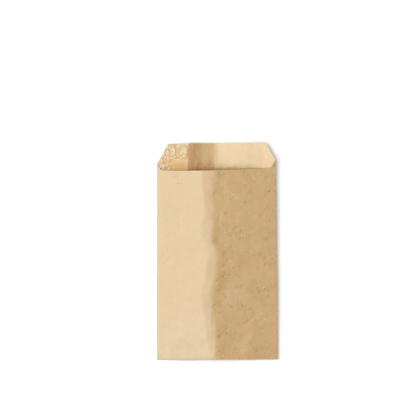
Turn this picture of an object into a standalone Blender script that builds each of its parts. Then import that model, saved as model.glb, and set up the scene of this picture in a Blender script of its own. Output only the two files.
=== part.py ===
"""A small flat bag of brown kraft paper with a short flap, lying on its back.

One sheet is wound into a flat tube. Its edges lap down the back panel and are glued there.
The lower end of the tube is turned up over the back and glued. The back panel runs on past
the mouth as the flap, and one slanting cut at each side trims the flap's corner, crosses
the side fold and ends in the front panel.

Across the bag is X, up the bag towards the flap is Y, and Z points up from the table.
"""

import math
from collections import namedtuple

import bmesh
import bpy

MM = 0.001

# Flat size
WIDTH = 70.0 * MM  # between the side folds
FRONT_LENGTH = 111.0 * MM  # bottom fold to the ends of the mouth's edge
FLAP_LENGTH = 14.8 * MM  # from there to the flap's edge
MOUTH_DIP = 1.0 * MM  # how far the mouth's edge dips between its ends

# Sheet and glued joins
PAPER = 0.12 * MM
GLUE_FILM = 0.04 * MM
SEAM_LAP = 14.0 * MM
SEAM_EDGE_X = -2.6 * MM  # edge of the lap's inner layer, from the bag's middle line
TURN_UP = 12.0 * MM
DRAPE = 1.2 * MM  # width over which one layer comes down beside the edge of another

# Slanting cuts at the mouth
CUT_SLOPE = 1.75  # length up the bag for each unit across it
LEFT_CUT_RISE = 2.9 * MM  # ends of the mouth's edge to where the cut crosses the side fold
RIGHT_CUT_RISE = 4.7 * MM

# How the bag lies, as heights above the table
LEFT_FOLD_AT_MOUTH = 1.9 * MM
RIGHT_FOLD_AT_MOUTH = 2.4 * MM
RIDGE_AT_BOTTOM = 3.2 * MM  # ridge of the closed panels above the side folds
RIDGE_AT_MOUTH = 4.1 * MM  # ridge of the front panel above the side folds
MOUTH_NARROWING = 0.9 * MM  # the side folds draw in by this much where the mouth opens
REST_WIDTH = 7.0 * MM  # strip of the back panel beside the seam that lies flat on the table
REST_PRESS = 0.15 * MM  # depth by which the table flattens the valley there
FLAP_CORNER_LIFT = 0.9 * MM

# Creases along the bag, across X
RIDGE_LEFT_X = -8.8 * MM
RIDGE_RIGHT_X = -2.4 * MM
RIDGE_SHOULDER = 0.93  # height of the ridge's left crease as a share of its right one
RIDGE_SOFTNESS = 2.2 * MM
VALLEY_SOFTNESS = 1.0 * MM
LEFT_BACK_RISE = 0.1 * MM  # back panel at the lap's outer edge, above the line of the folds

# Spacing of the sheet's facets
COLUMN_STEP = 4.4 * MM
ROW_STEP = 6.2 * MM
RIM_ROWS = 4
RIM_BAND = 2.0 * MM  # rows start to follow the cut edges this far below the mouth's edge
FOLD_STEPS = 4

HALF = WIDTH / 2
BACK_LENGTH = FRONT_LENGTH + FLAP_LENGTH
LEFT_CUT_AT_FOLD = FRONT_LENGTH + LEFT_CUT_RISE
RIGHT_CUT_AT_FOLD = FRONT_LENGTH + RIGHT_CUT_RISE
PITCH = PAPER + GLUE_FILM  # from the middle of one layer to the middle of the next
LAP_START_X = SEAM_EDGE_X - SEAM_LAP  # edge of the lap's outer layer
REST_END_X = SEAM_EDGE_X + REST_WIDTH
FIRST_LAYER = PITCH / 2  # innermost layer at the bottom fold
SECOND_LAYER = FIRST_LAYER + PITCH
FOLD_RADIUS = PITCH / 2
REST_HEIGHT = SECOND_LAYER + PAPER / 2  # bottom fold's middle above the table at its corners
TABLE_TOUCH = PAPER / 2  # middle of a layer that lies on the table
RIM_START = FRONT_LENGTH - MOUTH_DIP - RIM_BAND

Station = namedtuple("Station", "x side angle")
Row = namedtuple("Row", "kind along")


def clamp(value, low=0.0, high=1.0):
    return min(max(value, low), high)


def smooth(value):
    """Ease from 0 to 1 with level ends."""
    value = clamp(value)
    return value * value * (3 - 2 * value)


def hinge(distance, softness):
    """Rise with slope 1 past a rounded crease and stay at 0 before it."""
    return (distance + math.hypot(distance, softness)) / 2


def creased(x, points, softness):
    """Height at x of a line through points, with each inner corner rounded."""
    (x0, z0), (x1, z1) = points[0], points[1]
    slope = (z1 - z0) / (x1 - x0)

    def raw(at):
        height = z0 + slope * (at - x0)
        last = slope
        for (xa, za), (xb, zb) in zip(points[1:], points[2:]):
            following = (zb - za) / (xb - xa)
            height += (following - last) * hinge(at - xa, softness)
            last = following
        return height

    first, final = points[0], points[-1]
    share = (x - first[0]) / (final[0] - first[0])
    miss = (1 - share) * (raw(first[0]) - first[1]) + share * (raw(final[0]) - final[1])
    return raw(x) - miss


def between(points, step):
    """Points with even stations added so that none lie further apart than step."""
    filled = []
    for start, end in zip(points, points[1:]):
        count = max(1, math.ceil(abs(end - start) / step - 1e-6))
        filled += [start + (end - start) * i / count for i in range(count)]
    return filled + [points[-1]]


def openness(y):
    """0 where front and back are pressed together, 1 at the mouth."""
    return smooth((y - TURN_UP) / (FRONT_LENGTH - TURN_UP))


def fold_line(x, y):
    """Height of the plane through the two side folds."""
    across = (x + HALF) / WIDTH
    at_mouth = LEFT_FOLD_AT_MOUTH * (1 - across) + RIGHT_FOLD_AT_MOUTH * across
    return REST_HEIGHT + (at_mouth - REST_HEIGHT) * clamp(y / FRONT_LENGTH)


def ridge(x):
    """Section of the front panel's ridge, 0 at the side folds and 1 at its top."""
    points = [
        (-HALF, 0.0),
        (RIDGE_LEFT_X, RIDGE_SHOULDER),
        (RIDGE_RIGHT_X, 1.0),
        (HALF, 0.0),
    ]
    return creased(x, points, RIDGE_SOFTNESS)


def valley(x):
    """Section of the back panel at the open mouth, measured from the line of the folds."""
    sunk = TABLE_TOUCH - FIRST_LAYER - REST_PRESS
    points = [
        (-HALF, 0.0),
        (LAP_START_X, LEFT_BACK_RISE),
        (SEAM_EDGE_X, sunk - fold_line(SEAM_EDGE_X, FRONT_LENGTH)),
        (REST_END_X, sunk - fold_line(REST_END_X, FRONT_LENGTH)),
        (HALF, 0.0),
    ]
    return creased(x, points, VALLEY_SOFTNESS)


def flap_curl(x, y):
    """Lift of the flap's right corner off the table."""
    out = smooth(x / HALF)
    up = clamp((y - FRONT_LENGTH) / FLAP_LENGTH)
    return FLAP_CORNER_LIFT * out * up * up


def front_height(x, y):
    grown = smooth(y / FRONT_LENGTH)
    height = RIDGE_AT_BOTTOM + (RIDGE_AT_MOUTH - RIDGE_AT_BOTTOM) * grown
    return fold_line(x, y) + height * ridge(x)


def back_height(x, y):
    opened = openness(y)
    closed = RIDGE_AT_BOTTOM * ridge(x)
    return fold_line(x, y) + (1 - opened) * closed + opened * valley(x) + flap_curl(x, y)


def over_lap(x):
    """1 over the lapped seam, easing to 0 past its edges."""
    left = smooth((x - (LAP_START_X - DRAPE)) / DRAPE)
    right = smooth((SEAM_EDGE_X + DRAPE - x) / DRAPE)
    return left * right


def layer(station, opened):
    """Height of a station in the pressed stack of layers, above the fold's middle."""
    if station.side == "fold":
        return SECOND_LAYER - FOLD_RADIUS + FOLD_RADIUS * math.sin(station.angle)
    if station.side == "outer":
        return FIRST_LAYER
    if station.side == "inner":
        return FIRST_LAYER + PITCH * smooth((station.x - LAP_START_X + DRAPE) / DRAPE)
    return SECOND_LAYER + PITCH * over_lap(station.x) * (1 - opened)


def mouth_edge(x):
    return FRONT_LENGTH - MOUTH_DIP * (1 - (x / HALF) ** 2)


def top_edge(station):
    """How far up the bag the cut sheet reaches at a station."""
    left, right = station.x + HALF, HALF - station.x
    if station.side == "front":
        cuts = LEFT_CUT_AT_FOLD - CUT_SLOPE * left, RIGHT_CUT_AT_FOLD - CUT_SLOPE * right
        return max(mouth_edge(station.x), *cuts)
    cuts = LEFT_CUT_AT_FOLD + CUT_SLOPE * left, RIGHT_CUT_AT_FOLD + CUT_SLOPE * right
    return min(BACK_LENGTH, *cuts)


def stations():
    """The sheet from its inner edge in the lap, round both side folds, to its outer edge."""
    left_flap_corner = -HALF + (FLAP_LENGTH - LEFT_CUT_RISE) / CUT_SLOPE
    right_flap_corner = HALF - (FLAP_LENGTH - RIGHT_CUT_RISE) / CUT_SLOPE
    left_front_corner = -HALF + LEFT_CUT_RISE / CUT_SLOPE
    right_front_corner = HALF - RIGHT_CUT_RISE / CUT_SLOPE
    lap = [LAP_START_X - DRAPE, LAP_START_X, SEAM_EDGE_X, SEAM_EDGE_X + DRAPE]

    inner = [SEAM_EDGE_X, LAP_START_X, LAP_START_X - DRAPE, left_flap_corner, -HALF]
    front = sorted([-HALF, left_front_corner, RIDGE_LEFT_X, *lap, right_front_corner, HALF])
    rest = [REST_END_X, REST_END_X - DRAPE, SEAM_EDGE_X + DRAPE]
    outer = [HALF, right_flap_corner, *rest, SEAM_EDGE_X, LAP_START_X]
    quarter = math.pi / 2
    turn = [-quarter + math.pi * i / FOLD_STEPS for i in range(1, FOLD_STEPS)]

    found = [Station(x, "inner", 0.0) for x in between(inner, COLUMN_STEP)]
    found += [Station(-HALF, "fold", angle) for angle in turn]
    found += [Station(x, "front", 0.0) for x in between(front, COLUMN_STEP)]
    found += [Station(HALF, "fold", angle) for angle in reversed(turn)]
    found += [Station(x, "outer", 0.0) for x in between(outer, COLUMN_STEP)]
    return found


def rows():
    """From the edge of the turned-up end, round the bottom fold, to the top edges."""
    found = [Row("turned", y) for y in between([TURN_UP, 0.0], ROW_STEP)]
    found += [Row("bend", math.pi * (1 - i / FOLD_STEPS)) for i in range(1, FOLD_STEPS)]
    found += [Row("body", y) for y in between([0.0, TURN_UP, RIM_START], ROW_STEP)]
    found += [Row("rim", (i + 1) / RIM_ROWS) for i in range(RIM_ROWS)]
    return found


def place(station, row):
    """Point of the sheet's middle surface for one station in one row."""
    if row.kind == "rim":
        y = RIM_START + row.along * (top_edge(station) - RIM_START)
    else:
        y = 0.0 if row.kind == "bend" else row.along
    opened = openness(y)
    height = layer(station, opened)
    x = station.x
    if station.side == "fold":
        x += math.copysign(FOLD_RADIUS * math.cos(station.angle), station.x)

    if row.kind == "turned":
        z = back_height(station.x, y) - height
    elif row.kind == "bend":
        z = back_height(station.x, y) + height * math.cos(row.along)
        y = -height * math.sin(row.along)
    elif station.side == "front":
        z = front_height(station.x, y) + height
    else:
        z = max(back_height(station.x, y) + height, TABLE_TOUCH + height - FIRST_LAYER)
    return x * (1 - opened * MOUTH_NARROWING / WIDTH), y, z


def paper_material():
    material = bpy.data.materials.new("brown_kraft_paper")
    material.use_nodes = True
    shader = material.node_tree.nodes["Principled BSDF"]
    shader.inputs["Base Color"].default_value = (0.58, 0.40, 0.21, 1.0)
    shader.inputs["Roughness"].default_value = 0.62
    shader.inputs["Metallic"].default_value = 0.0
    return material


def paper_bag():
    """The whole bag as one folded sheet of even thickness."""
    shape = bmesh.new()
    grid = [[shape.verts.new(place(s, row)) for s in stations()] for row in rows()]
    for low, high in zip(grid, grid[1:]):
        for corners in zip(low, low[1:], high[1:], high):
            shape.faces.new(corners)
    mesh = bpy.data.meshes.new("paper_bag")
    shape.to_mesh(mesh)
    shape.free()
    mesh.materials.append(paper_material())

    bag = bpy.data.objects.new("paper_bag", mesh)
    bpy.context.scene.collection.objects.link(bag)
    sheet = bag.modifiers.new("Paper thickness", "SOLIDIFY")
    sheet.thickness = PAPER
    sheet.offset = 0.0
    sheet.use_even_offset = True
    mesh.shade_smooth()
    mesh.set_sharp_from_angle(angle=math.radians(30))
    return bag


def main():
    for old in list(bpy.data.objects):
        bpy.data.objects.remove(old)
    bag = paper_bag()
    bottom_reach = SECOND_LAYER + PITCH + PAPER / 2
    bag.location.y = -(BACK_LENGTH - bottom_reach) / 2


main()
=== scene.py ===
import math

import bpy
import numpy as np
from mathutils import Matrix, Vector


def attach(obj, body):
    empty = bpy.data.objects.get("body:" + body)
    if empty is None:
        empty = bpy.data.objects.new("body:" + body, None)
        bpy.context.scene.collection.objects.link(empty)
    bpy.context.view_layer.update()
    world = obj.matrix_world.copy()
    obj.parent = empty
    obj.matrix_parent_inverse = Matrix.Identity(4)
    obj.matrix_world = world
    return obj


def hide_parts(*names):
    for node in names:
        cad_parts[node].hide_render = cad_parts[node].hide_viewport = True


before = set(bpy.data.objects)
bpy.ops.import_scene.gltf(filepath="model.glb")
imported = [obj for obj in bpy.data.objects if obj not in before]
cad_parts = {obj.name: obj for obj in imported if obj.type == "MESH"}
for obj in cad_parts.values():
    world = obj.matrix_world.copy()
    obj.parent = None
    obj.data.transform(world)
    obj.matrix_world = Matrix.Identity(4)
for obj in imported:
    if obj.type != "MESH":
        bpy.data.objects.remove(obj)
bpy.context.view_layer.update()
mm = 0.001
flatUnit = 100.0  # mm of flat sheet in one unit of its map
print("frame loaded")


view = {
    "aimX": -9.6,  # mm, the point under the middle of the picture
    "aimY": 29.9,
    "frameSide": 233.3,  # mm of table across the picture
    "lens": 180.0,
    "sensor": 36.0,
    "roll": 0.3,  # degrees, the bag lies turned to the left by this much
    "clip": (0.01, 20.0),  # m, nearest and farthest that is seen
}


def makeCamera():
    data = bpy.data.cameras.new("tableCamera")
    data.lens = view["lens"]
    data.sensor_width = view["sensor"]
    distance = view["frameSide"] * view["lens"] / view["sensor"]
    data.clip_start, data.clip_end = view["clip"]
    camera = bpy.data.objects.new("tableCamera", data)
    camera.location = (view["aimX"] * mm, view["aimY"] * mm, distance * mm)
    camera.rotation_euler = (0.0, 0.0, math.radians(-view["roll"]))
    bpy.context.scene.collection.objects.link(camera)
    bpy.context.scene.camera = camera


class Wire:
    # wraps a shader socket, so that sums on it add Math nodes
    def __init__(self, maker, socket):
        self.maker, self.socket = maker, socket

    def other(self, name):
        # another output of the same node
        return Wire(self.maker, self.socket.node.outputs[name])

    def maths(self, operation, first, second):
        return self.maker.node("ShaderNodeMath", {"operation": operation}, {0: first, 1: second})

    def __add__(self, other):
        return self.maths("ADD", self, other)

    def __sub__(self, other):
        return self.maths("SUBTRACT", self, other)

    def __rsub__(self, other):
        return self.maths("SUBTRACT", other, self)

    def __mul__(self, other):
        return self.maths("MULTIPLY", self, other)

    __radd__, __rmul__ = __add__, __mul__


class NodeMaker:
    def __init__(self, owner):
        owner.use_nodes = True
        self.owner, self.tree = owner, owner.node_tree
        self.tree.nodes.clear()

    def node(self, kind, settings, values, output=0):
        made = self.tree.nodes.new(kind)
        for name, value in settings.items():
            setattr(made, name, value)
        for name, value in values.items():
            self.feed(made.inputs[name], value)
        return Wire(self, made.outputs[output]) if made.outputs else made

    def feed(self, socket, value):
        if isinstance(value, Wire):
            self.tree.links.new(value.socket, socket)
        else:
            socket.default_value = value

    def range(self, value, low, high):
        # 0 below low, 1 above high, eased between
        return self.node("ShaderNodeMapRange", {"interpolation_type": "SMOOTHSTEP"},
                         {"Value": value, "From Min": low, "From Max": high})

    def mix(self, factor, first, second):
        # the colour sockets of this node are 6 and 7, and its colour comes out of 2
        return self.node("ShaderNodeMix", {"data_type": "RGBA"}, {0: factor, 6: first, 7: second}, 2)

    def noise(self, place, size, detail=2.0, roughness=0.5):
        # size in millimetres of flat sheet
        values = {"Vector": place, "Scale": flatUnit / size, "Detail": detail, "Roughness": roughness}
        return self.node("ShaderNodeTexNoise", {"noise_dimensions": "2D"}, values)

    def marks(self, place, cell, chosen, reach):
        # marks at points scattered one to a cell of this size in mm: one ramp, over the cell's random
        # number, chooses which cells have a mark, and the other is over the distance from its point
        cells = self.node("ShaderNodeTexVoronoi", {"voronoi_dimensions": "2D"},
                          {"Vector": place, "Scale": flatUnit / cell})
        chance = self.node("ShaderNodeSeparateColor", {}, {0: cells.other("Color")})
        return self.range(chance, *chosen) * self.range(cells, *reach)

    def mapped(self, place, scale, turn=0.0, centre=(0.0, 0.0, 0.0)):
        # turned back about the centre first, then shrunk by the scale, so a larger scale stretches it
        return self.node("ShaderNodeMapping", {"vector_type": "TEXTURE"},
                         {"Vector": place, "Scale": scale, "Rotation": (0, 0, turn), "Location": centre})

    def attribute(self, name):
        # output 2 is the attribute as one number
        return self.node("ShaderNodeAttribute", {"attribute_name": name}, {}, 2)

    def seenDirectly(self):
        # 1 for what the camera sees straight on, in gloss or through glass
        path = self.node("ShaderNodeLightPath", {}, {}, "Is Camera Ray")
        return path + path.other("Is Glossy Ray") + path.other("Is Transmission Ray")


studio = {
    "keyFromVertical": 24.0,  # degrees, towards the left of the bag
    "keyTowardsFlap": 2.0,  # degrees, turned from the left towards the flap
    "keyDistance": 1.6,  # m
    "keyWide": 0.96,  # m, from above the bag out to its left
    "keyLong": 1.4,  # m, along the bag
    "keyLevel": 0.80,  # light on the table from the lamp, where 1 makes white paper white
    "skyLevel": 0.44,  # light from all round
    "floorColour": (0.96, 0.96, 0.96),
    "floorGlow": 0.12,  # white that only the camera and reflections see in the table
    "floorSide": 3.0,  # m
}


def makeLights():
    lean, turn = math.radians(studio["keyFromVertical"]), math.radians(studio["keyTowardsFlap"])
    out = np.array([-math.sin(lean) * math.cos(turn), math.sin(lean) * math.sin(turn), math.cos(lean)])
    data = bpy.data.lights.new("softBox", "AREA")
    data.shape = "RECTANGLE"
    data.size, data.size_y = studio["keyWide"], studio["keyLong"]
    # a small lamp of power P at distance d and angle a lights the table by P * cos a / (pi * d * d)
    data.energy = studio["keyLevel"] * math.pi**2 * studio["keyDistance"] ** 2 / math.cos(lean)
    lamp = bpy.data.objects.new("softBox", data)
    lamp.location = out * studio["keyDistance"]
    lamp.rotation_mode = "QUATERNION"
    lamp.rotation_quaternion = Vector(out).to_track_quat("Z", "Y")
    bpy.context.scene.collection.objects.link(lamp)

    world = bpy.data.worlds.new("paleRoom")
    bpy.context.scene.world = world
    maker = NodeMaker(world)
    light = maker.node("ShaderNodeBackground", {}, {"Strength": studio["skyLevel"]})
    white = maker.node("ShaderNodeBackground", {}, {})
    chosen = maker.node("ShaderNodeMixShader", {}, {0: maker.seenDirectly(), 1: light, 2: white})
    maker.node("ShaderNodeOutputWorld", {}, {"Surface": chosen})


def makeFloor():
    reach = studio["floorSide"] / 2
    corners = [(-reach, -reach, 0), (reach, -reach, 0), (reach, reach, 0), (-reach, reach, 0)]
    mesh = bpy.data.meshes.new("paleTable")
    mesh.from_pydata(corners, [], [(0, 1, 2, 3)])
    maker = NodeMaker(bpy.data.materials.new("paleTable"))
    table = maker.node("ShaderNodeBsdfPrincipled", {}, {
        "Base Color": (*studio["floorColour"], 1.0), "Roughness": 1.0, "Specular IOR Level": 0.0})
    glow = maker.node("ShaderNodeEmission", {}, {"Strength": studio["floorGlow"]})
    lifted = maker.node("ShaderNodeAddShader", {}, {0: table, 1: glow})
    chosen = maker.node("ShaderNodeMixShader", {}, {0: maker.seenDirectly(), 1: table, 2: lifted})
    maker.node("ShaderNodeOutputMaterial", {}, {"Surface": chosen})
    mesh.materials.append(maker.owner)
    floor = bpy.data.objects.new("paleTable", mesh)
    bpy.context.scene.collection.objects.link(floor)


bpy.context.scene.view_settings.view_transform = "Standard"
makeCamera()
makeLights()
makeFloor()
print("camera, light and table made")


# millimetres; the named lengths are those of the solid bag
bagSheet = {
    "width": 70.0,
    "frontLength": 111.0,  # bottom fold to the ends of the mouth's edge
    "flapLength": 14.8,
    "mouthPlaces": [-35.0, -31.0, -24.0, -5.0, 6.0, 20.0, 30.0, 35.0],  # across, and the mouth's edge there
    "mouthHeights": [110.5, 109.9, 109.6, 109.6, 110.0, 110.3, 110.9, 111.3],
    "paper": 0.12,
    "glueFilm": 0.04,
    "seamLap": 14.8,
    "seamEdgeX": -1.6,
    "turnUp": 12.0,
    "drape": 2.4,  # the inner layer comes down over the outer one's edge
    "frontSwell": 9.0,  # the front's swell over the lap starts this far from it
    "cutSlope": 1.75,
    "leftCutRise": 2.9,
    "rightCutRise": 4.7,
    "flapCornerRound": 1.1,  # softness of the flap's right corner
    "cornerReach": 3.0,  # and how far from the right fold it starts
    "leftFoldAtBottom": 0.3,  # heights of the side folds over the table
    "rightFoldAtBottom": 2.0,
    "leftFoldAtMouth": 1.9,
    "rightFoldAtMouth": 3.5,
    "foldBow": 0.5,  # how much sooner the folds rise than along a straight line
    "ridgeAtBottom": 3.5,
    "ridgeAtMouth": 3.7,
    "mouthNarrowing": 1.25,
    "restWidth": 2.6,
    "restPress": 0.15,
    "flapCornerLift": 0.4,
    "flapDroop": 1.1,  # the flap's left corner sinks towards the table
    "droopReach": (-12.0, 14.0),  # from this place to the left, growing over this length
    "bendPlaces": [-35.0, -20.0, -12.0, 6.0, 18.0, 28.0, 35.0],  # across, and how far the flap bends up there
    "bendHeights": [1.0, 1.1, 1.2, 1.15, 1.0, 0.4, 0.3],
    "bendReaches": [9.0, 9.0, 6.5, 8.0, 7.5, 5.5, 5.5],  # over this length from the mouth's edge
    "ridgeFlankReach": 8.0,  # from the left crease out to the corner on the ridge's left flank
    "ridgeFlank": 0.63,  # height shares of the ridge: on its left flank and at its left crease
    "ridgeShoulder": 0.98,
    "ridgeSoftness": [1.5, 0.5, 1.7],  # of the flank, the left crease and the right one
    "valleySoftness": 1.5,
    "valleyKneeX": -9.4,
    "valleyKnee": 0.72,  # depth there as a share of the seam's
    "leftBackAtMouth": -0.8,  # the back's left part against the line of the folds
    "leftBackAtTop": 0.4,
    "leftPuff": 0.35,  # the front stands up more roundly from the left fold
    "leftPuffReach": (1.3, 12.0),  # it rises over the first length and fades over the second
    "liftNearFold": (8.0, 5.0),  # the flap's bend pulls the front up to this far from the folds, eased over
    "topPlaces": [-35.0, -21.0, -14.0, 35.0],  # across, and how far the flap's top edge lies off its line
    "topShifts": [-0.55, -0.5, -0.05, 0.0],
    "bottomPlaces": [-35.0, -20.0, -9.0, 0.0, 8.0, 35.0],  # the same for the bottom fold
    "bottomShifts": [-0.4, -0.4, 0.0, 0.0, -0.2, -0.25],
    "bottomShiftReach": 25.0,  # fades out over this height
    "tableSoftness": 0.05,  # how gently the paper meets the table
    "backStep": 0.9,  # spacing of the grid across the back, the lap, the crushed part and the front
    "lapStep": 0.6,
    "crushStep": 0.33,
    "frontStep": 0.66,
    "rowStep": 1.1,
    "turnUpStep": 1.5,
    "rimRows": 50,
    "rimBand": 3.2,
    "foldSteps": 8,
    "innerMapShift": (3.1, 2.3),  # in units of the map
    "sharpFrom": 40.0,  # degrees, bends from this on are shaded as edges
}
half = bagSheet["width"] / 2
backLength = bagSheet["frontLength"] + bagSheet["flapLength"]
pitch = bagSheet["paper"] + bagSheet["glueFilm"]  # middle of one layer to the middle of the next
firstLayer, secondLayer = pitch / 2, pitch * 1.5
foldRadius = pitch / 2
restHeight = secondLayer + bagSheet["paper"] / 2
tableTouch = bagSheet["paper"] / 2
lapStartX = bagSheet["seamEdgeX"] - bagSheet["seamLap"]
restEndX = bagSheet["seamEdgeX"] + bagSheet["restWidth"]
leftCutAtFold = bagSheet["frontLength"] + bagSheet["leftCutRise"]
rightCutAtFold = bagSheet["frontLength"] + bagSheet["rightCutRise"]
rimStart = bagSheet["frontLength"] - bagSheet["rimBand"]

# where the ridge's two creases run, at heights up the bag
ridgeCreases = {
    "heights": [0.0, 5.4, 12.4, 19.4, 26.4, 33.4, 40.4, 47.4,
                54.4, 59.5, 64.9, 71.9, 78.9, 85.9, 92.9, 106.9],
    "leftX": [-4.2, -4.9, -6.9, -7.4, -8.0, -8.9, -9.3, -7.0,
              -6.9, -4.6, -6.6, -9.0, -9.0, -7.1, -7.9, -9.0],
    "rightX": [0.2, -0.1, -1.2, -0.6, -2.5, -3.5, -3.1, -1.0,
               -0.1, 1.0, -1.5, -3.5, -2.4, -1.0, -2.4, -1.5],
    "wander": {"leftX": 0.0, "rightX": 0.5},  # how far each strays from its line, and over what length
    "wanderCell": 3.6,
}


def smooth(value):
    # eases from 0 to 1 with level ends: v * v * (3 - 2 v), v held to 0..1
    value = np.clip(value, 0.0, 1.0)
    return value * value * (3 - 2 * value)


def rising(value, start, over):
    # 0 up to the start, eased to 1 over this length
    return smooth((value - start) / over)


def falling(value, end, over):
    # eased from 1 down to 0 at the end, over this length
    return smooth((end - value) / over)


def softMax(a, b, softness):
    # the larger of two heights, rounded where they cross: half of a + b + hypot(a - b, softness)
    return (a + b + np.hypot(a - b, softness)) / 2


def creased(x, points, softness):
    # height of a line through points, each inner corner rounded by its own softness: slope changes times
    # rounded hinges, less the straight line of what that misses at the two ends
    slopes = [(zb - za) / (xb - xa) for (xa, za), (xb, zb) in zip(points, points[1:])]

    def raw(at):
        height = points[0][1] + slopes[0] * (at - points[0][0])
        for (corner, _), before, after, soft in zip(points[1:], slopes, slopes[1:], softness):
            away = at - corner
            height = height + (after - before) * (away + np.hypot(away, soft)) / 2
        return height

    first, final = points[0], points[-1]
    share = (x - first[0]) / (final[0] - first[0])
    return raw(x) - (1 - share) * (raw(first[0]) - first[1]) - share * (raw(final[0]) - final[1])


def softNoise(x, y, cell, seed):
    # smooth random relief from -1 to 1: random heights at the corners of square cells,
    # joined by the blend 6 t^5 - 15 t^4 + 10 t^3
    table = np.random.default_rng(seed).uniform(-1, 1, (256, 256))
    u, v = x / cell + 100.0, y / cell + 100.0
    i, j = np.floor(u).astype(int), np.floor(v).astype(int)
    s, t = u - i, v - j
    s, t = s**3 * (s * (6 * s - 15) + 10), t**3 * (t * (6 * t - 15) + 10)
    i0, i1, j0, j1 = i % 256, (i + 1) % 256, j % 256, (j + 1) % 256
    low = table[j0, i0] * (1 - s) + table[j0, i1] * s
    high = table[j1, i0] * (1 - s) + table[j1, i1] * s
    return low * (1 - t) + high * t


def crinkled(x, y, length, seed):
    # little folds: zigzag waves in five directions, each bent by soft noise, and their mean. A wave is
    # 4 * hypot(d, rounding) - 1, with d the distance to its nearest crest in wavelengths; the rounding
    # keeps the paper's two skins apart at the folds
    directions, firstAngle, turn, longer, rounding = 5, 0.35, 0.66, 0.13, 0.1
    total = 0.0
    for k in range(directions):
        angle = firstAngle + k * turn
        bend = 0.9 * softNoise(x, y, length * 1.7, seed + k)
        along = (x * math.cos(angle) + y * math.sin(angle)) / (length * (1 + longer * k)) + bend
        total = total + 4 * np.hypot(along - np.floor(along + 0.5), rounding) - 1
    return total / directions


def pebbled(x, y, size, seed):
    # pits with rounded ridges between: the distance d to the nearest of scattered points, one in each square
    # cell, rounded at the points by a hypotenuse. The minimum over the cells round about is the soft one,
    # -log(sum of exp(-firm * d)) / firm, and its usual value is taken off
    firm, atPoint, usual = 12.0, 0.25, 0.42
    jitter = np.random.default_rng(seed).uniform(0, 1, (2, 128, 128))
    u, v = x / size + 40.0, y / size + 40.0
    i, j = np.floor(u).astype(int), np.floor(v).astype(int)
    total = 0.0
    for di in (-1, 0, 1):
        for dj in (-1, 0, 1):
            a, b = (i + di) % 128, (j + dj) % 128
            away = np.hypot(u - i - di - jitter[0, b, a], v - j - dj - jitter[1, b, a])
            total = total + np.exp(-firm * np.hypot(away, atPoint))
    return -np.log(total) / firm - usual


def openness(y):
    # 0 up to the edge of the turned-up end, eased to 1 at the mouth
    return rising(y, bagSheet["turnUp"], bagSheet["frontLength"] - bagSheet["turnUp"])


def foldLine(x, y):
    # plane through the two side folds: each fold's height goes from its bottom value to its mouth value by
    # u + bow * u * (1 - u), a little sooner than along a straight line, and the plane is straight across
    up = np.clip(y / bagSheet["frontLength"], 0, 1)
    up = up + bagSheet["foldBow"] * up * (1 - up)
    left = bagSheet["leftFoldAtBottom"] * (1 - up) + bagSheet["leftFoldAtMouth"] * up
    right = bagSheet["rightFoldAtBottom"] * (1 - up) + bagSheet["rightFoldAtMouth"] * up
    across = (x + half) / (2 * half)
    return np.maximum(restHeight * (1 - up), left) * (1 - across) + right * across


def creasePlace(y, name):
    # a crease's place across: the line through its named places, eased by a weighted mean over 6 mm of
    # height, plus its wander times a soft noise up the bag
    near, weights = np.array([-3.0, -1.5, 0.0, 1.5, 3.0]), np.array([1.0, 2.0, 3.0, 2.0, 1.0]) / 9
    heights, places = ridgeCreases["heights"], ridgeCreases[name]
    eased = sum(weight * np.interp(y + d, heights, places) for d, weight in zip(near, weights))
    return eased + ridgeCreases["wander"][name] * softNoise(y, 0 * y, ridgeCreases["wanderCell"], 43)


def ridge(x, y):
    # 0 at the side folds, 1 at the right crease, with a gently sloping facet between the creases
    points = [
        (-half, 0.0),
        (creasePlace(y, "leftX") - bagSheet["ridgeFlankReach"], bagSheet["ridgeFlank"]),
        (creasePlace(y, "leftX"), bagSheet["ridgeShoulder"]),
        (creasePlace(y, "rightX"), 1.0),
        (half, 0.0),
    ]
    return creased(x, points, bagSheet["ridgeSoftness"])


def valley(x, y):
    # the opened back: down from the left fold to the seam, which lies on the table, and up to the right fold
    sunk = tableTouch - firstLayer - bagSheet["restPress"]
    atSeam = sunk - foldLine(bagSheet["seamEdgeX"], bagSheet["frontLength"])
    up = rising(y, bagSheet["frontLength"], bagSheet["flapLength"])
    leftBack = bagSheet["leftBackAtMouth"] * (1 - up) + bagSheet["leftBackAtTop"] * up
    points = [
        (-half, 0.0),
        (lapStartX, leftBack),
        (bagSheet["valleyKneeX"], bagSheet["valleyKnee"] * atSeam),
        (bagSheet["seamEdgeX"], atSeam),
        (restEndX, sunk - foldLine(restEndX, bagSheet["frontLength"])),
        (half, 0.0),
    ]
    return creased(x, points, [bagSheet["valleySoftness"]] * 4)


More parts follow.
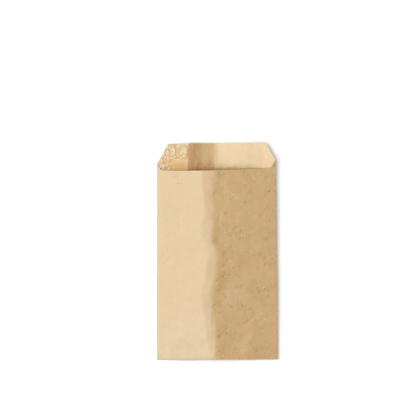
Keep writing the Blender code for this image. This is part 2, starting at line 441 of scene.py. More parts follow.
# relief of the paper, millimetres
relief = {
    # long waves: length across and along, phase and height of each
    "backWaves": [(71.0, 53.0, 0.7, 0.096), (-90.0, 37.0, 2.1, 0.0672)],
    "frontWaves": [(83.0, -61.0, 1.9, 0.078), (120.0, 41.0, 0.4, 0.0468)],
    # soft bumps: height, size and seed
    "cockle": (0.06, 7.0, 3),
    "fineCockle": (0.022, 3.1, 5),
    "frontBlotch": (0.07, 10.5, 31),  # on the smooth left half
    "frontMottle": (0.035, 3.6, 37),  # on the right half
    "seamStreak": (0.03, 4.6, 23),
    "mouthRipple": (0.05, 3.4, 29),  # dents of the flap beside the seam, just above the mouth
    "rippleReach": [(-1.0, 4.0), (31.0, 8.0), (119.0, 7.0)],  # its left, right and upper end, and easing
    "blotchRight": 0.6,  # share of the blotches that is left on the right half
    "streakStretch": (5.0, 0.6),  # the streaks' noise is read at this many times x and y
    "streakReach": 1.5,
    "ridgeFacet": (0.16, 8.0, 41),  # slanting facets that branch off the ridge to the right
    "facetBand": (4.0, 4.5),  # their middle, right of the ridge, and their reach
    "facetSlant": (0.8, 0.7, 0.45),  # read at these times x and y, and so much of x added to y
    "ridgeSide": (-2.0, 5.0),  # the right half's relief starts here from the ridge, and grows over this
    "pebbles": (0.71, 2.1, 11),  # the flap's crushed left part
    "crinkle": (0.28, 1.9, 17),
    "pebbleLean": 0.1,
    "lipDrop": 0.05,  # the mouth's edge bends down
    "lipReach": 1.6,
    "bottomDrop": 0.09,  # rounded shoulder above the bottom fold
    "bottomReach": 2.6,
    "clearOver": 1.2,  # the front panel's own relief grows to its whole over this distance from the back
}

# the flap's crushed part: places where its two patches start or end, and the lengths that ease them, mm
crushed = {
    "topLeft": (-36.0, 4.0),
    "topRight": (-16.6, 1.2),
    "topLow": (115.6, 3.6),
    "sideRight": (-25.5, 5.0),
    "sideLow": (108.5, 3.0),
    "atFold": 0.55,  # its share on the side fold itself
    "foldReach": 3.0,
}


def crinkleShare(x, y):
    # 1 where the flap's left part is crushed: the larger of two patches, at its top and at the side fold,
    # each a product of eased limits; weaker on the fold
    top = rising(x, *crushed["topLeft"]) * falling(x, *crushed["topRight"]) * rising(y, *crushed["topLow"])
    side = falling(x, *crushed["sideRight"]) * rising(y, *crushed["sideLow"])
    byFold = crushed["atFold"] + (1 - crushed["atFold"]) * rising(x, -half, crushed["foldReach"])
    return np.maximum(top, side) * byFold


def waves(x, y, name):
    # sum of height * sin(2 pi (x / length across + y / length along) + phase)
    return sum(height * np.sin(2 * math.pi * (x / across + y / along) + phase)
               for across, along, phase, height in relief[name])


def bumps(x, y, name):
    # height * soft noise, of the named height, size and seed
    height, size, seed = relief[name]
    return height * softNoise(x, y, size, seed)


def shoulderDrop(y):
    # (1 - y / reach) squared, times the drop: the paper rounds down to the bottom fold
    return relief["bottomDrop"] * np.clip(1 - y / relief["bottomReach"], 0, 1) ** 2


def sharedRelief(x, y):
    # relief of the back panel and of all that is pressed against it: waves and cockles, pebbles and crinkles
    # in the crushed part, streaks along the lap, ripples above the mouth, less the bottom's shoulder
    height = waves(x, y, "backWaves") + bumps(x, y, "cockle") + bumps(x, y, "fineCockle")
    pebbleHeight, pebbleSize, pebbleSeed = relief["pebbles"]
    foldHeight, foldLength, foldSeed = relief["crinkle"]
    rough = pebbleHeight * pebbled(x + relief["pebbleLean"] * y, y, pebbleSize, pebbleSeed)
    height = height + crinkleShare(x, y) * (rough + foldHeight * crinkled(x, y, foldLength, foldSeed))
    reach, (wide, tall) = relief["streakReach"], relief["streakStretch"]
    inLap = rising(x, lapStartX - reach, reach) * falling(x, bagSheet["seamEdgeX"] + reach, reach)
    height = height + inLap * bumps(x * wide, y * tall, "seamStreak")
    start, end, top = relief["rippleReach"]
    nearMouth = rising(x, *start) * falling(x, *end) * falling(y, *top)
    return height + nearMouth * bumps(x, y, "mouthRipple") - shoulderDrop(y)


def frontRelief(x, y):
    # the front panel's own relief: long waves, broad blotches, finer mottle right of the ridge, and beside
    # the ridge, in a band exp(-((distance - middle) / reach)^2), slanting facets
    away = x - creasePlace(y, "rightX")
    right = rising(away, *relief["ridgeSide"])
    height = waves(x, y, "frontWaves")
    height = height + (1 - (1 - relief["blotchRight"]) * right) * bumps(x, y, "frontBlotch")
    height = height + right * bumps(x, y, "frontMottle")
    middle, reach = relief["facetBand"]
    band = np.exp(-(((away - middle) / reach) ** 2))
    acrossShare, alongShare, slant = relief["facetSlant"]
    facetHeight, length, seed = relief["ridgeFacet"]
    facets = crinkled(x * acrossShare, y * alongShare + x * slant, length, seed)
    return height + facetHeight * band * facets - shoulderDrop(y)


def flapShare(y):
    # 0 up to the mouth, 1 at the flap's top, evenly between
    return np.clip((y - bagSheet["frontLength"]) / bagSheet["flapLength"], 0, 1)


def flapLift(x, y):
    # the flap's bend, steepest at the mouth's edge: t (2 - t) of its height; and the lifted right corner
    startsBelow = 0.6
    up = flapShare(y)
    rise = np.interp(x, bagSheet["bendPlaces"], bagSheet["bendHeights"])
    over = np.interp(x, bagSheet["bendPlaces"], bagSheet["bendReaches"])
    t = np.clip((y - mouthEdge(x) + startsBelow) / over, 0, 1)
    return bagSheet["flapCornerLift"] * smooth(x / half) * up * up + rise * t * (2 - t)


def plainBack(x, y):
    # fold line, plus the closed ridge below and the opened valley above, blended by the openness
    opened = openness(y)
    return foldLine(x, y) + (1 - opened) * bagSheet["ridgeAtBottom"] * ridge(x, y) + opened * valley(x, y)


def backSurface(x, y):
    # plain back, plus the flap's lift, less the droop of its left corner, plus the relief, and nowhere below
    # the table: there the layers under it, more of them over the turned-up end, hold it up
    up = flapShare(y)
    droop = falling(x, *bagSheet["droopReach"]) * (0.25 * up + 0.75 * up * up)
    height = plainBack(x, y) + flapLift(x, y) - bagSheet["flapDroop"] * droop + sharedRelief(x, y)
    clear = tableTouch - firstLayer
    turned = 1 - rising(y, bagSheet["turnUp"], 1.0)
    return softMax(height, clear + (restHeight - clear) * turned, bagSheet["tableSoftness"])


def frontSurface(x, y):
    # fold line plus the ridge times its growing height, plus a puff beside the left fold, less the lip.
    # Its own relief grows only where it stands clear of the back, so that the two never cross
    grown = smooth(y / bagSheet["frontLength"])
    rise = bagSheet["ridgeAtBottom"] + (bagSheet["ridgeAtMouth"] - bagSheet["ridgeAtBottom"]) * grown
    plain = foldLine(x, y) + rise * ridge(x, y)
    apart = smooth((plain - plainBack(x, y)) / relief["clearOver"])
    fromLeft = x + half
    nearFold = falling(np.minimum(fromLeft, half - x), *bagSheet["liftNearFold"])
    height = plain + flapLift(x, y) * nearFold
    height = height + sharedRelief(x, y) * (1 - apart) + frontRelief(x, y) * apart
    steep, wide = bagSheet["leftPuffReach"]
    puff = (1 - np.exp(-fromLeft / steep)) * np.exp(-fromLeft / wide)
    lip = np.clip(1 - (mouthEdge(x) - y) / relief["lipReach"], 0, 1.5)
    height = height + bagSheet["leftPuff"] * grown * puff - relief["lipDrop"] * lip**2 * apart
    return softMax(height, backSurface(x, y), 0.01 * bagSheet["paper"])


def mouthEdge(x):
    # through the named places, each corner eased by a mean over 6 mm
    near = np.linspace(-3.0, 3.0, 7)
    places, heights = bagSheet["mouthPlaces"], bagSheet["mouthHeights"]
    return sum(np.interp(x + d, places, heights) for d in near) / len(near)


def topEdge(x, isFront):
    # the front panel ends at the mouth's edge or, by the folds, at the two cuts that slope down from them;
    # the back panel ends at the flap's top or at the cuts that slope up, its right corner rounded
    left, right = x + half, half - x
    slope = bagSheet["cutSlope"]
    ears = np.maximum(leftCutAtFold - slope * left, rightCutAtFold - slope * right)
    front = np.maximum(mouthEdge(x), ears)
    leftCut, rightCut = leftCutAtFold + slope * left, rightCutAtFold + slope * right
    top = backLength + np.interp(x, bagSheet["topPlaces"], bagSheet["topShifts"])
    rounded = -softMax(-top, -rightCut, bagSheet["flapCornerRound"])
    byFold = np.clip(right / bagSheet["cornerReach"], 0, 1)
    back = np.minimum(rounded * byFold + np.minimum(rightCut, top) * (1 - byFold), leftCut)
    return np.where(isFront, front, back)


def spread(points, step):
    # points with even stations added so that none lie further apart than step
    filled = [np.array([points[0]])]
    for start, end in zip(points, points[1:]):
        count = max(1, math.ceil(abs(end - start) / step - 1e-6))
        filled.append(np.linspace(start, end, count + 1)[1:])
    return np.concatenate(filled)


# the parts of a row, round the tube
innerSide, foldSide, frontSide, outerSide = 0, 1, 2, 3


def gridColumns():
    # the wound sheet from its inner edge in the lap, round both side folds, to its outer edge
    flapLeft = -half + (bagSheet["flapLength"] - bagSheet["leftCutRise"]) / bagSheet["cutSlope"]
    flapRight = half - (bagSheet["flapLength"] - bagSheet["rightCutRise"]) / bagSheet["cutSlope"]
    seam, drape = bagSheet["seamEdgeX"], bagSheet["drape"]
    inner = np.concatenate([
        spread([seam, lapStartX, lapStartX - drape], bagSheet["lapStep"]),
        spread([lapStartX - drape, flapLeft, -half], bagSheet["crushStep"])[1:]])
    leftEar = -half + bagSheet["leftCutRise"] / bagSheet["cutSlope"]
    rightEar = half - bagSheet["rightCutRise"] / bagSheet["cutSlope"]
    front = spread([-half, leftEar, lapStartX - drape, lapStartX, seam, seam + drape, rightEar, half],
                   bagSheet["frontStep"])
    outer = spread([half, flapRight, restEndX, seam + drape, seam + 0.5, seam + 0.25, seam, lapStartX],
                   bagSheet["backStep"])
    steps = bagSheet["foldSteps"]
    turn = np.linspace(-math.pi / 2, math.pi / 2, steps + 1)[1:-1]
    x = np.concatenate([inner, np.full(steps - 1, -half), front, np.full(steps - 1, half), outer])
    angle = np.concatenate([0 * inner, turn, 0 * front, turn[::-1], 0 * outer])
    side = np.repeat([innerSide, foldSide, frontSide, foldSide, outerSide],
                     [len(inner), steps - 1, len(front), steps - 1, len(outer)])
    return x, side, angle


def gridRows():
    # from the edge of the turned-up end, round the bottom fold, up to the cut edges
    turned = spread([bagSheet["turnUp"], 0.0], bagSheet["turnUpStep"])
    bend = np.linspace(math.pi, 0, bagSheet["foldSteps"] + 1)[1:-1]
    body = spread([0.0, relief["bottomReach"], bagSheet["turnUp"], rimStart], bagSheet["rowStep"])
    rim = np.arange(1, bagSheet["rimRows"] + 1) / bagSheet["rimRows"]
    y = np.concatenate([turned, 0 * bend, body, 0 * rim + rimStart])
    angle = np.concatenate([0 * turned + math.pi, bend, 0 * body, 0 * rim])
    share = np.concatenate([0 * turned, 0 * bend, 0 * body, rim])
    return y, angle, share


def sheetMiddle():
    # the sheet's middle surface on the grid of rows and columns: a layer's height is added to the panel
    # that carries it, and the rows of the bottom fold turn that height through half a circle
    x, side, foldAngle = (part[None, :] for part in gridColumns())
    y, turn, share = (part[:, None] for part in gridRows())
    isFront, isFold = side == frontSide, side == foldSide
    y = y + share * (topEdge(x, isFront) - rimStart)
    opened = openness(y)
    # the front passes over the lap in a broad low swell
    swell, drape = bagSheet["frontSwell"], bagSheet["drape"]
    frontClimb = rising(x, lapStartX - swell, swell) * falling(x, bagSheet["seamEdgeX"] + swell, swell)
    lapClimb = pitch * rising(x, lapStartX - drape, drape)
    none = 0 * y + 0 * x
    foldLayer = secondLayer - foldRadius + foldRadius * np.sin(foldAngle)
    layer = np.select([isFold, side == outerSide, side == innerSide],
                      [foldLayer + none, firstLayer + none, firstLayer + lapClimb + none],
                      secondLayer + pitch * frontClimb * (1 - opened))
    onBody = turn < 0.01
    x, y = np.broadcast_arrays(x, y)
    base = np.where(isFront & onBody, frontSurface(x, y), backSurface(x, y))
    z = base + layer * np.cos(turn)
    reach = foldRadius * np.cos(foldAngle) * np.sign(x) * isFold
    flat = np.stack([x, y], axis=2)
    bottomShift = np.interp(x, bagSheet["bottomPlaces"], bagSheet["bottomShifts"])
    y = y + bottomShift * (1 - smooth(y / bagSheet["bottomShiftReach"]))
    wide = (x + reach) * (1 - opened * bagSheet["mouthNarrowing"] / bagSheet["width"])
    return np.stack([wide, y - layer * np.sin(turn), z], axis=2), flat, side + 0 * y.astype(int)


def skinOffset(points):
    # half the paper's thickness along the mean normal of the faces round each point, a little more at bends
    across, along = points[:, 1:] - points[:, :-1], points[1:] - points[:-1]
    faceNormal = np.cross(across[:-1] + across[1:], along[:, :-1] + along[:, 1:])
    faceNormal /= np.linalg.norm(faceNormal, axis=2, keepdims=True)
    padded = np.pad(faceNormal, ((1, 1), (1, 1), (0, 0)), mode="edge")
    around = [padded[:-1, :-1], padded[:-1, 1:], padded[1:, :-1], padded[1:, 1:]]
    mean = sum(around)
    mean /= np.linalg.norm(mean, axis=2, keepdims=True)
    facing = sum((mean * normal).sum(axis=2, keepdims=True) for normal in around) / 4
    return mean / np.maximum(facing, 0.8) * bagSheet["paper"] / 2


def sheetFaces(rows, columns):
    # the grid's squares on one skin, the same turned round on the other, and a rim that joins their borders
    count = rows * columns
    number = np.arange(count).reshape(rows, columns)
    squares = [number[:-1, :-1], number[:-1, 1:], number[1:, 1:], number[1:, :-1]]
    quads = np.stack(squares, axis=2).reshape(-1, 4)
    border = np.concatenate([number[0, :], number[1:, -1], number[-1, -2::-1], number[-2:0:-1, 0]])
    following = np.roll(border, -1)
    rim = np.stack([border, border + count, following + count, following], axis=1)
    return np.concatenate([quads, quads[:, ::-1] + count, rim])


def enclosedVolume(corners):
    # sum over the faces of middle times area vector, over 3: above zero where the faces point out
    middle = corners.mean(axis=1)
    area = np.cross(corners[:, 2] - corners[:, 0], corners[:, 3] - corners[:, 1]) / 2
    return (middle * area).sum() / 3


def addFlatMap(mesh, flat):
    # each point's place on the unwound sheet; the inner face has its own stretch of the map
    rows, columns = flat.shape[:2]
    columnPath = np.concatenate([[0.0], np.abs(np.diff(flat[0, :, 0])).cumsum()])
    rowPath = np.where(np.arange(rows) < np.argmin(flat[:, 0, 1]), -1, 1)[:, None] * flat[:, :, 1]
    plane = np.stack([np.broadcast_to(columnPath, (rows, columns)), rowPath], axis=2)
    plane = plane.reshape(-1, 2) / flatUnit
    plane = np.concatenate([plane, plane + bagSheet["innerMapShift"]])
    uv = mesh.uv_layers.new(name="flatSheet")
    loopVertex = np.zeros(len(mesh.loops), np.int32)
    mesh.loops.foreach_get("vertex_index", loopVertex)
    uv.data.foreach_set("uv", plane[loopVertex].astype(np.float32).ravel())


# where the paint changes: a pair is a place and the length that eases it, mm; a third number is its share
paint = {
    "lapStart": (-0.9, 1.0),  # from the lap's start
    "lapPastSeam": 0.3,
    "lapLevel": 0.55,
    # the strip darkens below this height, and more at the mouth: painted shade
    "lapLower": (122.0, 9.0, 0.28),
    "lapAtMouth": (115.5, 3.0, 0.33),
    "lapRightPaler": (-11.5, 4.0, 0.30),
    # a dark line just past the seam's edge: a painted shadow of that edge
    "lapEdgeLine": (0.1, 0.5),
    "foldLight": 0.9,
    # a painted highlight on the front, just below the mouth's edge
    "mouthLight": (-0.8, 0.7),  # from the mouth's edge
    "mouthLightRight": (8.0, 20.0),
    "rightEar": (0.2, 0.8),
    "leftEar": (0.3, 0.9),  # its middle from the cut edge, and its reach
    "leftEarRight": (-31.5, 1.0),
    "facetEase": 1.5,
    "ridgeShade": (2.8, 2.7),  # middle, right of the ridge, and reach
    "bottomShade": (1.9, 0.6, 0.5),
    "pastRidge": (0.0, 2.0),
    "rightOfRidge": (-2.0, 5.0),
    "lowLeftSheen": (38.0, 34.0),
    "lowLeftRight": (0.0, 4.0),
    "warmFold": (-3.4, 1.6),  # from the right fold
    "warmFoldTop": (75.0, 25.0),
    "warmBandTop": (4.9, 1.2),
    "warmBandLow": (1.3, 0.8),
    "innerWarmLeft": (-31.0, 6.0),
    "innerWarmTop": (122.0, 8.0),
    "innerWarmRight": (-14.0, 3.0),
}


def lapPaint(x, y, side):
    # the glued strip: a level share of glue, more below and at the mouth, which is painted shade, less on its
    # right, and a line at its edge, a painted shadow of that edge
    start, over = paint["lapStart"]
    seam = bagSheet["seamEdgeX"]
    inStrip = rising(x, lapStartX + start, over) * (x < seam + paint["lapPastSeam"]) * (side != frontSide)
    share = paint["lapLevel"] + 0 * x
    for value, name, ramp, sign in ((y, "lapLower", falling, 1), (y, "lapAtMouth", falling, 1),
                                    (x, "lapRightPaler", rising, -1)):
        place, ease, amount = paint[name]
        share = share + sign * amount * ramp(value, place, ease)
    line, amount = paint["lapEdgeLine"]
    return inStrip * (share + amount * (x > seam + line))


def earPaint(x, y, side):
    # dark just above the mouth's edge on the right ear, and along the left ear's cut on the layer below it
    above, over = paint["rightEar"]
    rightEar = (side == frontSide) * rising(y, mouthEdge(x) + above, over) * (x > 0)
    away, over = paint["leftEar"]
    byCut = smooth(1 - np.abs(y - topEdge(x, True) - away) / over)
    return rightEar + (side == innerSide) * byCut * falling(x, *paint["leftEarRight"])


def ridgePaint(away, y, side):
    # the darker band right of the ridge, exp(-((distance - middle) / reach)^2), or a strip at the bottom
    middle, reach = paint["ridgeShade"]
    bottom, over, share = paint["bottomShade"]
    atBottom = share * falling(y, bottom, over) * rising(away, *paint["pastRidge"])
    return (side == frontSide) * np.maximum(np.exp(-(((away - middle) / reach) ** 2)), atBottom)


def warmPaint(x, away, y, side):
    # the larger of a band up the right fold and one above the bottom; and a patch low inside the flap, just
    # above the mouth, which is painted shade
    byFold, over = paint["warmFold"]
    upFold = rising(x, half + byFold, over) * falling(y, *paint["warmFoldTop"])
    band = falling(y, *paint["warmBandTop"]) * rising(y, *paint["warmBandLow"])
    front = (side == frontSide) * np.maximum(upFold, band * rising(away, *paint["pastRidge"]))
    patch = rising(x, *paint["innerWarmLeft"]) * falling(x, *paint["innerWarmRight"])
    return front + (side == innerSide) * patch * falling(y, *paint["innerWarmTop"])


def paintShares(x, y, side, onBody):
    # what the material reads: shares of a colour or pattern, one for each point of the grid
    right, left = x - creasePlace(y, "rightX"), x - creasePlace(y, "leftX")
    isFront, ease = side == frontSide, paint["facetEase"]
    light, over = paint["mouthLight"]
    return {
        "lapBand": lapPaint(x, y, side),
        "crinkle": crinkleShare(x, y) * (side != frontSide),
        # pale along the folds: worn fibres, and a painted highlight where the rounded folds catch the light
        "foldLight": np.maximum((side == foldSide) * 1.0, falling(y, paint["foldLight"], paint["foldLight"])),
        "mouthLight": isFront * rising(y, mouthEdge(x) + light, over) * falling(x, *paint["mouthLightRight"]),
        "earShade": earPaint(x, y, side),
        "facet": isFront * rising(left, 0.0, ease) * falling(right, 0.0, ease),
        "ridgeShade": ridgePaint(right, y, side),
        "rightOfRidge": rising(right, *paint["rightOfRidge"]),
        "frontFace": isFront * 1.0,
        # the front's low left, left of the ridge, paler and less saturated: painted sheen
        "lowLeftSheen": isFront * onBody * falling(y, *paint["lowLeftSheen"]) * falling(right, *paint["lowLeftRight"]),
        "warmPart": warmPaint(x, right, y, side),
    }


def makeSheetMesh():
    points, flat, side = sheetMiddle()
    rows, columns = points.shape[:2]
    push = skinOffset(points)
    count = rows * columns
    # the bag's middle, from the bottom fold to the flap's top, lies over the frame's origin
    shift = np.array([0.0, -(backLength - (secondLayer + pitch + bagSheet["paper"] / 2)) / 2, 0.0])
    places = np.concatenate([(points + push).reshape(-1, 3), (points - push).reshape(-1, 3)]) + shift
    faces = sheetFaces(rows, columns)

    mesh = bpy.data.meshes.new("kraftBagSheet")
    mesh.vertices.add(len(places))
    mesh.vertices.foreach_set("co", (places * mm).astype(np.float32).ravel())
    mesh.loops.add(faces.size)
    mesh.loops.foreach_set("vertex_index", faces.astype(np.int32).ravel())
    mesh.polygons.add(len(faces))
    mesh.polygons.foreach_set("loop_start", np.arange(0, faces.size, 4, dtype=np.int32))
    mesh.update(calc_edges=True)
    mesh.validate()

    volume = enclosedVolume((places * mm)[faces])
    if volume < 0:
        mesh.flip_normals()
    facing = "turned" if volume < 0 else "kept"
    print("sheet volume in cubic millimetres", round(abs(volume) * 1e9, 1), facing)

    addFlatMap(mesh, flat)
    onBody = np.arange(rows)[:, None] >= np.argmin(flat[:, 0, 1])  # not on the turned-up end
    for name, values in paintShares(flat[:, :, 0], flat[:, :, 1], side, onBody).items():
        addAttribute(mesh, name, np.tile(values.reshape(-1), 2))
    addAttribute(mesh, "innerFace", np.repeat([0.0, 1.0] if volume > 0 else [1.0, 0.0], count))
    edge = np.zeros((rows, columns))
    edge[-1, :] = edge[0, :] = edge[:, 0] = edge[:, -1] = 1
    addAttribute(mesh, "cutEdge", np.tile(edge.reshape(-1), 2))
    mesh.shade_smooth()
    mesh.set_sharp_from_angle(angle=math.radians(bagSheet["sharpFrom"]))
    return mesh


def addAttribute(mesh, name, values):
    attribute = mesh.attributes.new(name, "FLOAT", "POINT")
    attribute.data.foreach_set("value", values.astype(np.float32))


kraftPaper = {
    "tan": (0.556, 0.380, 0.163, 1.0),
    "shadeTan": (0.558, 0.368, 0.164, 1.0),  # right of the ridge
    "pale": (0.69, 0.495, 0.262, 1.0),
    "deep": (0.49, 0.30, 0.118, 1.0),
    "rosy": (0.60, 0.372, 0.185, 1.0),
    "olive": (0.555, 0.392, 0.155, 1.0),
    "innerTan": (0.655, 0.459, 0.219, 1.0),
    "warm": (0.60, 0.350, 0.186, 1.0),  # along the right fold and the bottom
    # painted shade: the flap's lower left, darker and warmer just above the mouth
    "innerWarmShade": (0.625, 0.372, 0.104, 1.0),  # the flap's lower left
    # painted sheen for the front's low left
    "paintedSheen": (0.602, 0.470, 0.268, 1.0),
    "ridgeOlive": (0.50, 0.345, 0.125, 1.0),
    "fleck": (0.20, 0.11, 0.045, 1.0),
    "stroke": (0.27, 0.145, 0.025, 1.0),
    "press": (0.42, 0.31, 0.135, 1.0),
    "smear": (0.42, 0.275, 0.095, 1.0),
    "glueAndShadeTan": (0.450, 0.219, 0.083, 1.0),
    "edgePale": (0.72, 0.54, 0.34, 1.0),
    "roughness": 0.28,
    "specular": 0.55,
    "reliefDepth": 0.00008,  # metres, of the strokes and fibres in the bump
    "noises": {  # size in mm, detail, and roughness where it isn't the usual one
        "blotch": (16.0, 1.0), "tint": (13.0, 1.0), "clouds": (9.0, 1.0), "smudge": (7.5, 1.0),
        "mottle": (4.2, 2.0, 0.55), "streak": (0.9, 3.0, 0.65), "crossFibre": (0.7, 2.0, 0.6),
        "grain": (0.5, 2.0, 0.6), "bending": (3.5, 1.0), "crumple": (1.1, 1.0, 0.5),
        "glueStreak": (2.6, 2.0, 0.5), "glueMottle": (1.5, 2.0, 0.6)},
    "bendBy": 0.018,  # in units of the map, how far the bending noise moves the strokes
    "strokeLean": 35.0,  # degrees from straight up the bag to the right
    # short strokes: degrees, stretch, cell in mm, share of cells that hold one, and its size in its cell
    "darkStrokes": (35.0, 2.2, 2.0, 0.20, 0.40),
    "crossStrokes": (-25.0, 1.6, 1.7, 0.10, 0.30),
    "paleStrokes": (55.0, 2.8, 1.4, 0.16, 0.30),
    # the crumple tone is painted light and shade: pale where the crumples stand up, deep where they sink
    "crumpleLightAndShade": (0.15, 1.8),  # value of its noise that changes nothing, and its strength
    "blotchTone": (0.25, 0.2),  # strength: added right of the ridge, and everywhere
    "mottleTone": (0.2, 0.15),
    "fibreTone": (0.26, 0.16, 0.14),  # of the streaks, the cross fibres and the grain
    "fibreBump": (0.12, 0.08, 0.12),
    "markBump": 0.5,
    "strokeBump": 0.3,
    "crumpleBump": 2.4,
    "toneReach": 0.42,  # tone at which the paper is all pale or, below zero, all deep
    "shares": {  # how much of each colour is laid over the rest where its mask is 1
        "lowLeftSheen": 0.6, "ridge": 0.5, "patches": 0.5, "facet": 0.35, "smears": 0.8, "fineFlecks": 0.14,
        "flecks": 0.85, "fibres": 0.6, "presses": 0.5, "darkStrokes": 0.42, "ear": 0.35,
        "paleStrokes": 0.65, "foldWearAndHighlight": 0.35, "wornEdge": 0.5, "mouthHighlight": 0.5, "crinkleWearAndHighlight": 0.4},
    "scattered": (10.0, (0.74, 0.76), (0.055, 0.025)),  # flecks in one of four cells of 10 mm
    "fineFlecks": (1.6, (0.86, 0.9), (0.2, 0.08)),
    "flecks": [(7.8, 92.9), (5.5, 74.3), (31.2, 80.1), (12.5, 48.0), (4.9, 35.8), (14.3, 31.1), (7.3, 16.5)],
    "fleckSize": 0.5,  # half width, mm
    "rosyPatches": [  # on the front: middle, half length and half width in mm, degrees
        (10.2, 104.6, 8.0, 6.0, 0.0), (6.4, 32.0, 10.0, 5.0, 60.0), (30.0, 86.0, 16.0, 7.0, 90.0),
        (-28.0, 103.0, 10.0, 6.0, 0.0), (-32.0, 13.0, 16.0, 4.5, 90.0)],
    "olivePatches": [
        (-22.0, 76.0, 16.0, 9.0, 80.0), (-22.0, 6.0, 16.0, 5.0, 0.0), (2.5, 92.0, 10.0, 3.0, 90.0)],
    "smears": [  # darker slanting smears beside the ridge, written the same way
        (-1.6, 31.7, 3.0, 1.2, 40.0), (1.2, 14.2, 3.6, 1.3, 40.0), (3.8, 61.4, 3.0, 1.3, 50.0),
        (-1.2, 96.7, 3.6, 1.7, 65.0), (-1.6, 69.0, 3.2, 1.5, 50.0), (11.0, 76.5, 2.8, 1.0, 40.0),
        (16.5, 21.5, 2.8, 1.0, 30.0)],
    "presses": [  # faint lines on the front: middle, half length and half width in mm, degrees
        (-24.0, 106.2, 2.7, 0.42, 5.0), (-22.2, 102.3, 2.1, 0.38, -9.0),
        (3.9, 37.7, 2.6, 0.38, -22.0), (8.3, 30.4, 2.6, 0.38, -29.0), (6.0, 18.0, 2.6, 0.38, -39.0),
        (11.6, 11.1, 3.4, 0.38, -27.0), (20.0, 9.2, 2.2, 0.38, -34.0)],
}


def frontPlace(x, y):
    # place on the flat sheet of a point of the front panel
    return ((x + half + (half + bagSheet["seamEdgeX"])) / flatUnit, y / flatUnit, 0.0)


def spot(maker, place, x, y, halfLong, halfWide, degrees=0.0, clear=0.45):
    # 1 in the middle of an ellipse on the front panel, out to the share clear of it, and 0 outside it
    scale = (halfLong / flatUnit, halfWide / flatUnit, 1.0)
    local = maker.mapped(place, scale, math.radians(degrees), frontPlace(x, y))
    away = maker.node("ShaderNodeVectorMath", {"operation": "LENGTH"}, {0: local}, "Value")
    return maker.range(away, 1.0, clear)


def spots(maker, place, rows, clear=0.45):
    # the sum of the spots that the rows describe
    total = 0.0
    for row in rows:
        total = total + spot(maker, place, *row, clear=clear)
    return total


def strokesOf(maker, place, degrees, stretch, cell, share, size):
    # short strokes: stretched cells scattered over the sheet, of which this share holds one
    turned = maker.mapped(place, (1.0, stretch, 1.0), math.radians(-degrees))
    return maker.marks(turned, cell, (1.0 - share, 1.02 - share), (size, size * 0.5))


def layered(maker, colour, layers):
    # the layers' colours laid over this one in turn, each by its own share
    for share, name in layers:
        colour = maker.mix(share, colour, kraftPaper[name])
    return colour


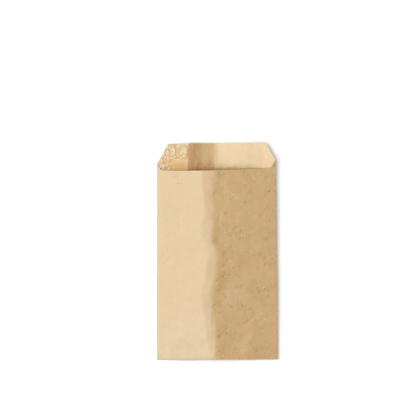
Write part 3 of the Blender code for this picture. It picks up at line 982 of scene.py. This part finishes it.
def makeKraft():
    maker = NodeMaker(bpy.data.materials.new("kraftPaper"))
    look, share, noises = kraftPaper, kraftPaper["shares"], kraftPaper["noises"]
    place = maker.node("ShaderNodeUVMap", {"uv_map": "flatSheet"}, {})
    names = ("innerFace", "lapBand", "frontFace", "crinkle", "rightOfRidge", "ridgeShade", "cutEdge")
    inner, lap, front, crinkle, right, ridgeShade, edge = (maker.attribute(name) for name in names)

    # fibres and mottle
    blotch = maker.noise(place, *noises["blotch"])
    tint = maker.noise(maker.mapped(place, (1.0, 1.3, 1.0), 0.4, (0.7, 0.2, 0.0)), *noises["tint"])
    mottle = maker.noise(place, *noises["mottle"])
    streak = maker.noise(maker.mapped(place, (1.0, 3.0, 1.0)), *noises["streak"])
    crossFibre = maker.noise(maker.mapped(place, (1.8, 1.0, 1.0), 0.5), *noises["crossFibre"])
    grain = maker.noise(place, *noises["grain"])
    crumple = maker.noise(place, *noises["crumple"])

    # strokes on a bent map, in clouds, most right of the ridge and least on the inner face
    bending = maker.noise(place, *noises["bending"]).other("Color")
    moved = maker.node("ShaderNodeVectorMath", {"operation": "SCALE"}, {0: bending, "Scale": look["bendBy"]})
    bent = maker.node("ShaderNodeVectorMath", {"operation": "ADD"}, {0: place, 1: moved})
    gathered = maker.range(maker.noise(place, *noises["clouds"]), 0.42, 0.58) * 0.7 + 0.3
    gathered = gathered * (front * (right * 0.8 + 0.2) + (1 - front) * 0.5) * (1 - inner * 0.8)
    darkStrokes = strokesOf(maker, bent, *look["darkStrokes"]) * 0.7
    darkStrokes = (darkStrokes + strokesOf(maker, bent, *look["crossStrokes"])) * gathered
    paleStrokes = strokesOf(maker, bent, *look["paleStrokes"]) * gathered
    leaning = maker.mapped(bent, (1.0, 1.7, 1.0), math.radians(-look["strokeLean"]))
    smudge = maker.range(maker.noise(leaning, *noises["smudge"]), 0.54, 0.70)

    # tone: the patterns less their middle values, each times its strength; above 0 pale, below 0 deep
    # in the crushed part the tone follows the crumples of the bump below: painted light where they stand up,
    # painted shade where they sink
    level, strength = look["crumpleLightAndShade"]
    tone = (crumple - level) * crinkle * strength
    for pattern, name in ((blotch, "blotchTone"), (mottle, "mottleTone")):
        added, everywhere = look[name]
        tone = tone + (pattern - 0.5) * (right * added + everywhere)
    fibres = (streak, crossFibre, grain)
    for pattern, strength in zip(fibres, look["fibreTone"]):
        tone = tone + (pattern - 0.5) * strength
    plain = maker.mix(inner, maker.mix(right, look["tan"], look["shadeTan"]), look["innerTan"])
    colour = layered(maker, plain, [
        (maker.range(tone, 0.0, look["toneReach"]), "pale"),
        (maker.range(tone, 0.0, -look["toneReach"]), "deep"),
        (maker.range(tint, 0.5, 0.7) * (right * 0.25 + 0.12), "rosy"),
        (maker.range(tint, 0.54, 0.3) * (0.5 - right * 0.35), "olive"),
        (maker.attribute("lowLeftSheen") * share["lowLeftSheen"], "paintedSheen"),
        (ridgeShade * maker.range(mottle, 0.3, 0.6) * share["ridge"], "ridgeOlive"),
        (spots(maker, place, look["rosyPatches"], 0.0) * front * share["patches"], "rosy"),
        (spots(maker, place, look["olivePatches"], 0.0) * front * share["patches"], "olive"),
        (maker.attribute("facet") * share["facet"], "rosy"),
        (spots(maker, place, look["smears"], 0.1) * front * share["smears"], "smear"),
    ])
    warmTan = maker.mix(inner, look["warm"], look["innerWarmShade"])
    colour = maker.mix(maker.attribute("warmPart") * (inner * 0.3 + 0.6), colour, warmTan)

    # the inner layer of the lap is soaked with glue in long streaks; the strip's mask also carries painted
    # shade towards the mouth and a painted shadow past the seam's edge
    glueStreak = maker.noise(maker.mapped(bent, (1.0, 7.0, 1.0), 0.12), *noises["glueStreak"])
    glueMottle = maker.noise(maker.mapped(bent, (1.0, 2.2, 1.0), -0.5), *noises["glueMottle"])
    soaked = maker.range(glueStreak, 0.25, 0.7) * 0.30 + maker.range(glueMottle, 0.3, 0.7) * 0.34 + 0.42

    # dark flecks: those of the front at their own places, each with a pale fibre on its left, partly a
    # painted highlight on the fleck's lit side, and the rest scattered
    size = look["fleckSize"]
    marks = spots(maker, place, [(x, y, size, size * 0.8, 20.0) for x, y in look["flecks"]]) * front
    paleFibresAndHighlights = spots(maker, place, [(x - 0.8, y - 0.7, 0.8, 0.3, -30.0) for x, y in look["flecks"]]) * front
    marks = marks + maker.marks(place, *look["scattered"]) * (1 - front) * (1 - inner)
    presses = spots(maker, place, look["presses"]) * front

    # pale: the cut edges, worn; the folds, worn and with a painted highlight; a painted highlight along the
    # mouth's edge; and the streaks of the crushed part, worn pale and with a painted highlight
    wearAndHighlight = maker.range(maker.attribute("foldLight"), 0.2, 1.0) * share["foldWearAndHighlight"] + edge * share["wornEdge"]
    wearAndHighlight = wearAndHighlight + maker.attribute("mouthLight") * share["mouthHighlight"]
    # the crushed part's pale streaks: creases worn pale, with a painted highlight
    wearAndHighlight = wearAndHighlight + crinkle * maker.range(streak, 0.5, 0.75) * share["crinkleWearAndHighlight"]
    colour = layered(maker, colour, [
        (lap * soaked * inner, "glueAndShadeTan"),
        (maker.marks(place, *look["fineFlecks"]) * share["fineFlecks"], "fleck"),
        (marks * share["flecks"], "fleck"),
        (paleFibresAndHighlights * share["fibres"], "pale"),
        (smudge * (right * 0.17 + ridgeShade * 0.35 + 0.05), "deep"),
        (presses * share["presses"], "press"),
        (darkStrokes * share["darkStrokes"] + maker.attribute("earShade") * share["ear"], "stroke"),
        (paleStrokes * share["paleStrokes"], "pale"),
        (wearAndHighlight, "edgePale"),
    ])

    rough = (streak - 0.5) * 0.14 + (mottle - 0.5) * 0.12 - inner * 0.03 + look["roughness"]
    # height: fibres, pale strokes, flecks and crumples stand up, dark strokes and pressed lines are sunk
    height = (paleStrokes - darkStrokes) * look["strokeBump"] + (marks - presses) * look["markBump"]
    for pattern, strength in zip(fibres, look["fibreBump"]):
        height = height + pattern * strength
    height = height + crumple * crinkle * look["crumpleBump"]
    bump = maker.node("ShaderNodeBump", {}, {
        "Strength": 1.0, "Distance": look["reliefDepth"], "Height": height})
    shader = maker.node("ShaderNodeBsdfPrincipled", {}, {
        "Base Color": colour, "Roughness": rough, "Normal": bump, "Specular IOR Level": look["specular"]})
    maker.node("ShaderNodeOutputMaterial", {}, {"Surface": shader})
    return maker.owner


def makeBag():
    mesh = makeSheetMesh()
    mesh.materials.append(makeKraft())
    bag = bpy.data.objects.new("kraftBagSheet", mesh)
    bpy.context.scene.collection.objects.link(bag)
    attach(bag, "root")
    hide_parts("paper_bag")
    print("bag sheet made with", len(mesh.polygons), "faces")


makeBag()
